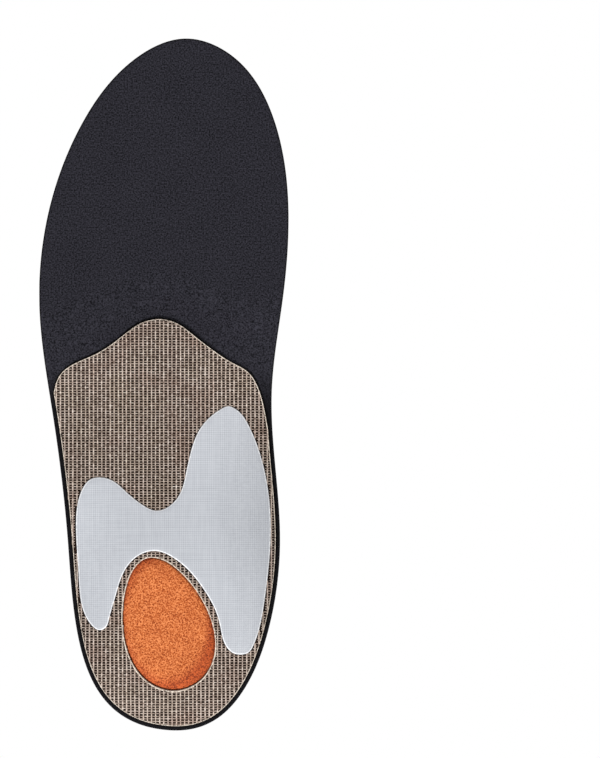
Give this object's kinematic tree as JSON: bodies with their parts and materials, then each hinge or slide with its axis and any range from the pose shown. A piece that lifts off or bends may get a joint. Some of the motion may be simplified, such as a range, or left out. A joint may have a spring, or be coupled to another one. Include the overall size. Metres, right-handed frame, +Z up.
{
  "type": "cushioned insole",
  "caption": "Contoured cushioned shoe insole: foam layers and a textile cover on a woven composite arch shell with a stabiliser film and a soft heel pad, bending at the ball.",
  "frame": {"origin": "On the resting plane under the centre of the plan: midway from the back of the heel to the toe tip and midway across the ball of the foot.", "axes": "+Y runs to the toes, +Z up to the foot, and +X to the little-toe side, so the piece is for a right foot. It lies on its underside."},
  "size_m": [0.0997, 0.2771, 0.0225],
  "materials": {
    "woven_shell": "woven cream yarn set in dark brown resin, satin",
    "stabiliser_film": "pale grey film with a fine woven grid, satin",
    "orange_foam": "granular open-cell foam, matte",
    "black_foam": "fine-celled foam, matte",
    "grey_foam": "soft open-cell foam, matte",
    "cover_textile": "knitted lining textile, matte"
  },
  "bodies": {
    "rearfoot": {"support_shell": "woven_shell", "arch_stabiliser": "stabiliser_film", "heel_pad": "orange_foam", "base_foam_rear": "black_foam", "cushion_foam_rear": "grey_foam", "top_cover_rear": "cover_textile"},
    "forefoot": {"base_foam_front": "black_foam", "cushion_foam_front": "grey_foam", "top_cover_front": "cover_textile"}
  },
  "joints": [
    {"name": "toe_flex", "type": "hinge", "parent": "rearfoot", "child": "forefoot", "pos_m": [0, 0.0495, 0.0056], "axis": [0.9659, -0.2588, 0], "range_deg": [0, 50], "stiffness_Nm_per_rad": 0.035}
  ]
}
